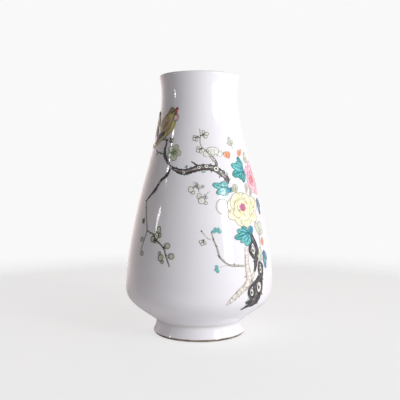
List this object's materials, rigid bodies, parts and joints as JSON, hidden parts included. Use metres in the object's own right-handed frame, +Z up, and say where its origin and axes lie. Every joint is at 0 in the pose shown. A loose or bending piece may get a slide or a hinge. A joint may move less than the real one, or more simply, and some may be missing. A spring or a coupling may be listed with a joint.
{
  "type": "porcelain vase",
  "caption": "Tapering baluster table vase with a short flared neck and a turned foot, glazed white inside and out and painted with raised enamel birds, prunus and peonies.",
  "frame": {"origin": "centre of the foot ring's resting face", "axes": "+Z up along the turning axis, -Y towards the painted front, +X to the right of a person facing that front"},
  "size_m": [0.138, 0.138, 0.24],
  "materials": {
    "porcelain_paste": "high-fired white porcelain body, hidden under the glaze",
    "bare_paste": "unglazed foot rim, smooth trimmed biscuit that fired slightly buff",
    "luting_slip": "dried and fired slip in the joints, hidden under the glaze",
    "clear_glaze": "glossy clear glaze over white porcelain, faintly cool white",
    "bark_enamel": "sepia and black overglaze enamel, slightly raised, satin gloss",
    "pale_bark_enamel": "pale grey-pink overglaze wash with sepia outlines",
    "twig_enamel": "grey-brown overglaze strokes",
    "prunus_enamel": "translucent greenish-white enamel petals with olive outlines",
    "bud_enamel": "grey-green translucent enamel",
    "teal_enamel": "translucent teal enamel running to blue, dark veins",
    "blue_enamel": "translucent pale blue enamel",
    "yellow_enamel": "opaque pale yellow enamel with brown petal lines",
    "pink_enamel": "opaque rose-pink enamel, deeper to the petal roots",
    "orange_enamel": "iron-red and orange enamel",
    "pale_green_enamel": "thin pale green enamel wash",
    "olive_enamel": "olive-yellow enamel with feather strokes"
  },
  "bodies": {
    "root": {"lower_body_section": "porcelain_paste", "upper_body_section": "porcelain_paste", "neck_section": "porcelain_paste", "belly_luting_seam": "luting_slip", "neck_luting_seam": "luting_slip", "foot_luting_seam": "luting_slip", "foot_ring": "bare_paste", "base_floor": "porcelain_paste", "outer_glaze": "clear_glaze", "inner_glaze": "clear_glaze", "base_glaze": "clear_glaze", "bough_enamel": "bark_enamel", "perch_branch_enamel": "bark_enamel", "perch_twig_enamel": "twig_enamel", "far_twig_enamel": "twig_enamel", "drooping_branch_enamel": "bark_enamel", "drooping_twig_enamel": "twig_enamel", "upper_twig_enamel": "twig_enamel", "profile_blossom_stem_enamel": "pale_bark_enamel", "dark_trunk_enamel": "bark_enamel", "pale_trunk_enamel": "pale_bark_enamel", "side_branch_enamel": "pale_bark_enamel", "side_twig_enamel": "twig_enamel", "bird_enamel": "olive_enamel", "companion_bird_enamel": "olive_enamel", "open_blossom_enamel": "prunus_enamel", "perch_bud_enamel": "bud_enamel", "far_blossom_enamel": "prunus_enamel", "blossom_upper_right_enamel": "prunus_enamel", "blossom_upper_left_enamel": "prunus_enamel", "blossom_upper_low_enamel": "prunus_enamel", "profile_blossom_enamel": "prunus_enamel", "blossom_pair_enamel": "prunus_enamel", "blossom_lower_enamel": "prunus_enamel", "blossom_cluster_enamel": "prunus_enamel", "blossom_side_enamel": "prunus_enamel", "droop_bud_right_enamel": "bud_enamel", "droop_bud_low_enamel": "bud_enamel", "droop_bud_tip_enamel": "bud_enamel", "droop_bud_mid_enamel": "bud_enamel", "droop_bud_high_enamel": "bud_enamel", "grey_blossom_enamel": "bud_enamel", "teal_leaf_small_enamel": "teal_enamel", "teal_leaf_upper_enamel": "teal_enamel", "teal_leaf_lower_enamel": "teal_enamel", "teal_leaf_far_enamel": "teal_enamel", "sprig_leaf_upper_enamel": "teal_enamel", "sprig_leaf_lower_enamel": "teal_enamel", "blue_leaf_upper_enamel": "blue_enamel", "blue_leaf_lower_enamel": "blue_enamel", "yellow_peony_enamel": "yellow_enamel", "pink_peony_enamel": "pink_enamel", "white_side_petal_enamel": "prunus_enamel", "orange_bud_left_enamel": "orange_enamel", "orange_bud_right_enamel": "orange_enamel", "orange_bud_low_enamel": "orange_enamel", "pale_leaf_bud_enamel": "pale_green_enamel", "pale_leaf_upper_enamel": "pale_green_enamel", "pale_leaf_right_enamel": "pale_green_enamel", "pale_leaf_low_enamel": "pale_green_enamel"}
  },
  "joints": []
}
